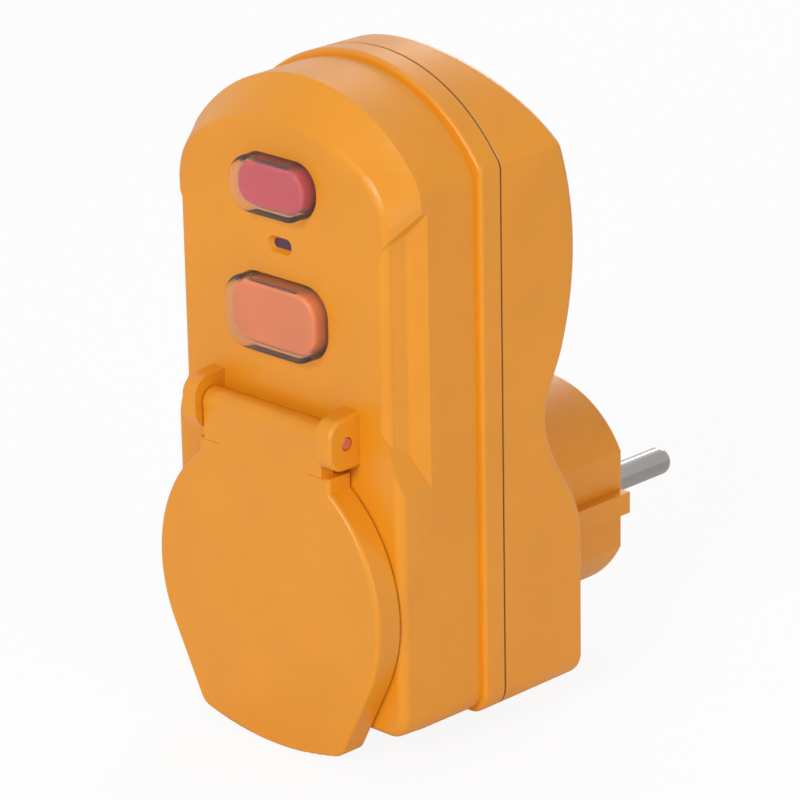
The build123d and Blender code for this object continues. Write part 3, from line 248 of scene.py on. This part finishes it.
    def _relief(
        self, tree: bpy.types.NodeTree, shader: bpy.types.Node, placed: bpy.types.Node
    ) -> None:
        """Bump the surface with the finish's own grain.

        Args:
            tree: The material's node tree.
            shader: The shader to set.
            placed: The mapping that places the pattern.
        """
        if self.surface is Surface.LAMINATE:
            grain = tree.nodes.new("ShaderNodeTexVoronoi")
            grain.inputs["Scale"].default_value = self.scale
            tree.links.new(placed.outputs["Vector"], grain.inputs["Vector"])
            height = grain.outputs["Distance"]
        else:
            octaves = SPARKED_OCTAVES if self.surface is Surface.SPARKED else FINE_OCTAVES
            height = self._noise(tree, placed, self.scale, octaves).outputs["Fac"]
        bump = tree.nodes.new("ShaderNodeBump")
        bump.inputs["Strength"].default_value = self.bump
        bump.inputs["Distance"].default_value = self.relief
        tree.links.new(height, bump.inputs["Height"])
        tree.links.new(bump.outputs["Normal"], shader.inputs["Normal"])


# The housing carries a thin line of painted shade along the parting groove at y = -40.2 mm.
HOUSING = Finish(
    "housing_plastic", (0.765, 0.282, 0.008), 0.36, scale=4200.0, relief=0.05 * MM, bump=0.35,
    spread=0.03, painted_shade_seam_y=-40.2 * MM,
)
SOCKET_INSERT = Finish("socket_plastic", (0.72, 0.25, 0.012), 0.5, relief=0.03 * MM)
SEAL = Finish("seal_rubber", (0.02, 0.02, 0.022), 0.62, Surface.MATTE, scale=4000.0)
SCREW = Finish(
    "zinc_steel", (0.50, 0.50, 0.48), 0.32, Surface.DRAWN, metallic=1.0, scale=3000.0, bump=0.1
)
PIN = Finish(
    "nickel_plate", (0.34, 0.325, 0.31), 0.24, Surface.DRAWN, metallic=1.0, scale=2600.0,
    bump=0.06, stretch=(1.0, 0.12, 1.0), spread=0.06,
)
BRASS = Finish(
    "stamped_brass", (0.62, 0.42, 0.16), 0.3, Surface.DRAWN, metallic=1.0, scale=2500.0, bump=0.08
)
EARTH = Finish(
    "plated_strip", (0.60, 0.56, 0.47), 0.28, Surface.DRAWN, metallic=1.0, scale=2500.0, bump=0.08
)
HINGE = Finish(
    "hinge_copper", (0.66, 0.27, 0.17), 0.38, Surface.DRAWN, metallic=0.85, scale=3200.0, bump=0.12
)
SPRING = Finish(
    "spring_wire", (0.36, 0.37, 0.39), 0.3, Surface.DRAWN, metallic=1.0, scale=3500.0, bump=0.06
)
SHUTTER = Finish("acetal_white", (0.74, 0.72, 0.66), 0.42, Surface.MATTE, subsurface=0.1)
TEST_RED = Finish("test_red", (0.50, 0.012, 0.030), 0.3, relief=0.015 * MM, coat=0.2)
RESET_ORANGE = Finish("reset_orange", (0.67, 0.150, 0.005), 0.3, relief=0.015 * MM, coat=0.2)
BOOT = Finish(
    "clear_silicone", (0.97, 0.93, 0.95), 0.22, Surface.POLISHED, scale=1800.0, bump=0.05,
    coat=0.2, transmission=0.96, ior=1.07, spread=0.02,
)
LENS = Finish(
    "smoked_lens", (0.10, 0.03, 0.09), 0.14, Surface.POLISHED, scale=1500.0, bump=0.03,
    transmission=0.35, ior=1.49,
)
LAMP = Finish("lamp_epoxy", (0.45, 0.02, 0.02), 0.15, Surface.POLISHED, transmission=0.4)
BOARD = Finish(
    "board_laminate", (0.02, 0.14, 0.05), 0.36, Surface.LAMINATE, scale=1400.0, coat=0.3
)
CHASSIS = Finish("black_nylon", (0.022, 0.022, 0.024), 0.5, scale=5000.0)
CARRIER = Finish("natural_nylon", (0.66, 0.62, 0.50), 0.45, subsurface=0.1)
SILVER = Finish("silver_contact", (0.72, 0.70, 0.66), 0.25, Surface.DRAWN, metallic=1.0)
COPPER = Finish(
    "enamelled_copper", (0.52, 0.17, 0.05), 0.28, Surface.ENAMEL, metallic=0.7, scale=2200.0,
    coat=0.4,
)
CORE = Finish("core_epoxy", (0.05, 0.05, 0.06), 0.4, scale=2500.0)
YOKE = Finish("yoke_steel", (0.42, 0.42, 0.42), 0.35, Surface.DRAWN, metallic=1.0, scale=2800.0)
WIRE_BROWN = Finish("brown_insulation", (0.10, 0.035, 0.015), 0.42, scale=2500.0)
WIRE_BLUE = Finish("blue_insulation", (0.015, 0.05, 0.28), 0.42, scale=2500.0)
VARISTOR = Finish("varistor_blue", (0.02, 0.08, 0.33), 0.25, Surface.ENAMEL, scale=900.0)
CAPACITOR = Finish("capacitor_yellow", (0.62, 0.42, 0.03), 0.35, scale=4000.0)
CHIP = Finish("chip_epoxy", (0.015, 0.015, 0.016), 0.45, scale=5000.0)
SOLDER = Finish("bright_solder", (0.62, 0.62, 0.62), 0.2, Surface.DRAWN, metallic=1.0)
RESISTOR = Finish("resistor_lacquer", (0.45, 0.32, 0.17), 0.3, Surface.ENAMEL, scale=900.0)


class Wardrobe:
    """Builds each finish once and puts it on CAD nodes and new pieces."""

    def __init__(self) -> None:
        """Start with no finish built."""
        self._made: dict[str, bpy.types.Material] = {}

    def material(self, finish: Finish) -> bpy.types.Material:
        """Give the material of a finish, built on first use.

        Args:
            finish: The finish wanted.

        Returns:
            Its material.
        """
        if finish.name not in self._made:
            self._made[finish.name] = finish.build()
        return self._made[finish.name]

    def dress(self, finish: Finish, *nodes: str) -> None:
        """Put one finish on CAD nodes.

        Args:
            finish: The finish.
            nodes: The CAD nodes that wear it.
        """
        for node in nodes:
            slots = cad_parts[node].data.materials
            slots.clear()
            slots.append(self.material(finish))
            LOG.info("%s wears %s", node, finish.name)


@dataclass
class Housing:
    """The two shells, their seal and their screws."""

    wardrobe: Wardrobe

    def build(self) -> None:
        """Dress the shells and what joins them."""
        self.wardrobe.dress(HOUSING, "front_housing", "rear_housing")
        self.wardrobe.dress(SEAL, "housing_seal")
        self.wardrobe.dress(SCREW, "housing_screws", "board_screws")


@dataclass
class Lid:
    """The sprung socket lid and its hinge."""

    wardrobe: Wardrobe

    def build(self) -> None:
        """Dress the lid, its seal, pin and spring."""
        self.wardrobe.dress(HOUSING, "lid")
        self.wardrobe.dress(SEAL, "lid_seal")
        self.wardrobe.dress(HINGE, "hinge_pin")
        self.wardrobe.dress(SPRING, "lid_spring")


@dataclass
class Socket:
    """The recess behind the lid, with its contacts and shutter."""

    wardrobe: Wardrobe

    def build(self) -> None:
        """Dress the socket's cup, contacts and shutter."""
        self.wardrobe.dress(SOCKET_INSERT, "socket_cup", "socket_floor")
        self.wardrobe.dress(EARTH, "socket_earth_bow")
        self.wardrobe.dress(BRASS, "earth_link", "socket_contact_live", "socket_contact_neutral")
        self.wardrobe.dress(SHUTTER, "shutter")
        self.wardrobe.dress(SCREW, "shutter_pivot")


@dataclass
class Plug:
    """The pins and earth strips at the back."""

    wardrobe: Wardrobe

    def build(self) -> None:
        """Dress the plug's metal."""
        self.wardrobe.dress(PIN, "plug_pin_live", "plug_pin_neutral")
        self.wardrobe.dress(EARTH, "plug_earth_contact_top", "plug_earth_contact_bottom")


@dataclass
class Controls:
    """The two buttons under clear boots, and the lamp."""

    wardrobe: Wardrobe

    def build(self) -> None:
        """Dress the buttons, boots, springs and lamp."""
        self.wardrobe.dress(TEST_RED, "test_button")
        self.wardrobe.dress(RESET_ORANGE, "reset_button")
        self.wardrobe.dress(BOOT, "test_boot", "reset_boot")
        self.wardrobe.dress(SPRING, "test_spring", "reset_spring")
        self.wardrobe.dress(LENS, "lamp_window")
        self.wardrobe.dress(LAMP, "lamp")


def settle(
    name: str, body: str, shape: bmesh.types.BMesh, material: bpy.types.Material
) -> bpy.types.Object:
    """Turn a finished bmesh into a piece that rides on a body.

    Args:
        name: The piece's name.
        body: The CAD body that it rides on.
        shape: The mesh, placed in metres in the row's frame. It is freed.
        material: The piece's material.

    Returns:
        The new object.
    """
    bmesh.ops.recalc_face_normals(shape, faces=shape.faces)
    for face in shape.faces:
        face.smooth = True
    mesh = bpy.data.meshes.new(name)
    shape.to_mesh(mesh)
    shape.free()
    mesh.materials.append(material)
    piece = bpy.data.objects.new(name, mesh)
    bpy.context.scene.collection.objects.link(piece)
    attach(piece, body)
    LOG.info("%s rides on %s", name, body)
    return piece


@dataclass
class CoilTurns:
    """Closed rings of fine enamelled wire, half sunk in the trip coil's winding."""

    wardrobe: Wardrobe
    wire: float = 0.14 * MM
    segments: int = 36
    sides: int = 8
    pitch_in_radii: float = 2.05

    def build(self) -> None:
        """Spin one small ring per turn, from flange to flange."""
        low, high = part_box("trip_winding")
        centre = (low + high) / 2
        outer = (high.x - low.x) / 2
        turns = int((high.z - low.z) / (self.pitch_in_radii * self.wire))
        pitch = (high.z - low.z) / turns
        shape = bmesh.new()
        for turn in range(turns):
            place = Vector((centre.x + outer, centre.y, low.z + pitch * (turn + 0.5)))
            ring = bmesh.ops.create_circle(shape, segments=self.sides, radius=self.wire)
            upright = Matrix.Rotation(math.radians(90), 4, "X")
            bmesh.ops.transform(
                shape, matrix=Matrix.Translation(place) @ upright, verts=ring["verts"]
            )
            edges = list({edge for vert in ring["verts"] for edge in vert.link_edges})
            bmesh.ops.spin(
                shape, geom=ring["verts"] + edges, cent=centre, axis=(0, 0, 1),
                angle=math.tau, steps=self.segments, use_merge=True, use_duplicate=False,
            )
        settle("trip_coil_turns", "root", shape, self.wardrobe.material(COPPER))


@dataclass
class SolderJoints:
    """Solder cones on the board's front, over the legs and wires behind it.

    The cone over the varistor's outer leg cuts into the chip, and the one over the capacitor's
    outer side stands inside the coil's yoke.
    """

    wardrobe: Wardrobe
    base: float = 1.0 * MM
    tip: float = 0.35 * MM
    height: float = 0.9 * MM
    leg_reach: float = 2 * MM
    wire_radius: float = 1 * MM
    segments: int = 20

    def build(self) -> None:
        """Stand one cone on the board's front over each leg."""
        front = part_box("circuit_board")[0].y
        spots = []
        for node in ("varistor", "capacitor"):
            low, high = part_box(node)
            middle = (low + high) / 2
            spots += [
                (middle.x - self.leg_reach, middle.z),
                (middle.x + self.leg_reach, middle.z),
            ]
        for node in ("supply_wire_live", "supply_wire_neutral"):
            low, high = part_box(node)
            inner = low.x if low.x > 0 else high.x
            across = inner + math.copysign(self.wire_radius, inner)
            spots.append((across, high.z - self.wire_radius))
        shape = bmesh.new()
        for x, z in spots:
            cone = bmesh.ops.create_cone(
                shape, cap_ends=True, segments=self.segments, radius1=self.base, radius2=self.tip,
                depth=self.height,
            )
            face_front = Matrix.Rotation(math.radians(90), 4, "X")
            place = Matrix.Translation((x, front - self.height / 2, z))
            bmesh.ops.transform(shape, matrix=place @ face_front, verts=cone["verts"])
        settle("solder_joints", "root", shape, self.wardrobe.material(SOLDER))


@dataclass
class Mechanism:
    """The circuit board, trip coil, contacts and wiring inside."""

    wardrobe: Wardrobe

    def build(self) -> None:
        """Dress everything on the board."""
        wear = self.wardrobe.dress
        wear(BOARD, "circuit_board")
        wear(CHASSIS, "mechanism_frame", "transformer_holder")
        wear(CARRIER, "contact_carrier", "trip_bobbin")
        wear(SILVER, "moving_contacts", "fixed_contacts")
        wear(BRASS, "test_contact_leaf")
        wear(SPRING, "carrier_spring", "plunger_spring")
        wear(COPPER, "trip_winding", "transformer_winding")
        wear(YOKE, "trip_yoke", "trip_plunger")
        wear(CORE, "transformer_core")
        wear(WIRE_BROWN, "supply_wire_live")
        wear(WIRE_BLUE, "supply_wire_neutral")
        wear(VARISTOR, "varistor")
        wear(CAPACITOR, "capacitor")
        wear(CHIP, "control_chip")
        wear(RESISTOR, "test_resistor")


@dataclass(frozen=True)
class SoftLamp:
    """One square lamp: where it hangs, its side in metres and its power in watts."""

    name: str
    place: Triple
    side: float
    power: float


LAMPS = (
    SoftLamp("key_lamp", (0.35, -1.20, 0.70), 0.40, 9.5),
    SoftLamp("side_lamp", (1.30, -0.10, 0.25), 0.5, 3.2),
    SoftLamp("top_lamp", (-0.3, 0.2, 1.2), 0.6, 1.8),
    SoftLamp("back_lamp", (-0.7, 1.25, 0.55), 0.6, 4.5),
)


@dataclass
class Studio:
    """The pale floor, the soft lamps and the camera."""

    floor_half: float = 6.0
    floor_drop: float = 0.4 * MM
    floor_glow: float = 0.91
    floor_tone: float = 0.93
    floor_roughness: float = 0.9
    floor_shine: float = 0.1
    room_strength: float = 0.42
    sensor: float = 36.0
    nearest: float = 0.01
    azimuth: float = 44.89
    elevation: float = 19.98
    roll: float = -1.06
    distance: float = 0.6847
    lens: float = 188.2
    aim: Triple = (0.0, -0.03233, 0.04357)
    shift_right: float = -0.00268
    shift_up: float = -0.01977

    def build(self) -> None:
        """Make the floor, the room light, the lamps and the camera."""
        self._floor()
        self._world()
        for soft in LAMPS:
            self._lamp(soft)
        self._camera()

    def _floor(self) -> None:
        """Lay a wide pale floor just under the object."""
        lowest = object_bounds()[0].z
        sheet = bmesh.new()
        bmesh.ops.create_grid(sheet, x_segments=1, y_segments=1, size=self.floor_half)
        bmesh.ops.translate(sheet, verts=sheet.verts, vec=(0, 0, lowest - self.floor_drop))
        mesh = bpy.data.meshes.new("floor")
        sheet.to_mesh(mesh)
        sheet.free()
        floor = bpy.data.objects.new("floor", mesh)
        bpy.context.scene.collection.objects.link(floor)
        material = bpy.data.materials.new("pale_floor")
        material.use_nodes = True
        shader = material.node_tree.nodes["Principled BSDF"]
        shader.inputs["Base Color"].default_value = (*[self.floor_tone] * 3, 1)
        shader.inputs["Roughness"].default_value = self.floor_roughness
        shader.inputs["Specular IOR Level"].default_value = self.floor_shine
        tree = material.node_tree
        glow = tree.nodes.new("ShaderNodeEmission")
        glow.inputs["Color"].default_value = WHITE
        glow.inputs["Strength"].default_value = 1.0
        ray = tree.nodes.new("ShaderNodeLightPath")
        part = tree.nodes.new("ShaderNodeMath")
        part.operation = "MULTIPLY"
        part.inputs[1].default_value = self.floor_glow
        tree.links.new(ray.outputs["Is Camera Ray"], part.inputs[0])
        mix = tree.nodes.new("ShaderNodeMixShader")
        tree.links.new(part.outputs["Value"], mix.inputs["Fac"])
        tree.links.new(shader.outputs["BSDF"], mix.inputs[1])
        tree.links.new(glow.outputs["Emission"], mix.inputs[2])
        tree.links.new(mix.outputs["Shader"], tree.nodes["Material Output"].inputs["Surface"])
        mesh.materials.append(material)
        floor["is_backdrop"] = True

    def _world(self) -> None:
        """Light evenly from all round, and show white to the camera and in reflections."""
        world = bpy.data.worlds.new("soft_room")
        bpy.context.scene.world = world
        world.use_nodes = True
        tree = world.node_tree
        tree.nodes.clear()
        out = tree.nodes.new("ShaderNodeOutputWorld")
        room = tree.nodes.new("ShaderNodeBackground")
        room.inputs["Color"].default_value = WHITE
        room.inputs["Strength"].default_value = self.room_strength
        white = tree.nodes.new("ShaderNodeBackground")
        white.inputs["Color"].default_value = WHITE
        white.inputs["Strength"].default_value = 1.0
        ray = tree.nodes.new("ShaderNodeLightPath")
        seen = tree.nodes.new("ShaderNodeMath")
        seen.operation = "MAXIMUM"
        tree.links.new(ray.outputs["Is Camera Ray"], seen.inputs[0])
        clear = tree.nodes.new("ShaderNodeMath")
        clear.operation = "MAXIMUM"
        tree.links.new(ray.outputs["Is Transmission Ray"], clear.inputs[0])
        tree.links.new(ray.outputs["Is Glossy Ray"], clear.inputs[1])
        tree.links.new(clear.outputs["Value"], seen.inputs[1])
        mix = tree.nodes.new("ShaderNodeMixShader")
        tree.links.new(seen.outputs["Value"], mix.inputs["Fac"])
        tree.links.new(room.outputs["Background"], mix.inputs[1])
        tree.links.new(white.outputs["Background"], mix.inputs[2])
        tree.links.new(mix.outputs["Shader"], out.inputs["Surface"])

    def _lamp(self, soft: SoftLamp) -> None:
        """Hang one square soft lamp that faces the object.

        Args:
            soft: The lamp's place, size and power.
        """
        light = bpy.data.lights.new(soft.name, "AREA")
        light.shape = "SQUARE"
        light.size = soft.side
        light.energy = soft.power
        lamp = bpy.data.objects.new(soft.name, light)
        bpy.context.scene.collection.objects.link(lamp)
        lamp.location = soft.place
        toward = Vector(self.aim) - Vector(soft.place)
        lamp.rotation_mode = "QUATERNION"
        lamp.rotation_quaternion = toward.to_track_quat("-Z", "Y")

    def _camera(self) -> None:
        """Stand the camera at its low three-quarter view."""
        turn, tilt = math.radians(self.azimuth), math.radians(self.elevation)
        back = Vector(
            (math.sin(turn) * math.cos(tilt), -math.cos(turn) * math.cos(tilt), math.sin(tilt))
        )
        right = Vector((math.cos(turn), math.sin(turn), 0))
        up = back.cross(right)
        place = (
            Vector(self.aim) + back * self.distance + right * self.shift_right
            + up * self.shift_up
        )
        lean = math.radians(self.roll)
        side = right * math.cos(lean) + up * math.sin(lean)
        top = up * math.cos(lean) - right * math.sin(lean)
        data = bpy.data.cameras.new("camera")
        data.lens = self.lens
        data.sensor_width = self.sensor
        data.clip_start = self.nearest
        camera = bpy.data.objects.new("camera", data)
        bpy.context.scene.collection.objects.link(camera)
        camera.matrix_world = Matrix.Translation(place) @ Matrix(
            (side, top, back)
        ).transposed().to_4x4()
        bpy.context.scene.camera = camera


def main() -> None:
    """Dress the whole adapter and set the stage."""
    logging.basicConfig(level=logging.INFO)
    bpy.context.scene.view_settings.view_transform = "Standard"
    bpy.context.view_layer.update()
    wardrobe = Wardrobe()
    Studio().build()
    for assembly in (Housing, Lid, Socket, Plug, Controls, Mechanism, CoilTurns, SolderJoints):
        assembly(wardrobe).build()
        LOG.info("%s is dressed", assembly.__name__)


if __name__ == "__main__":
    main()
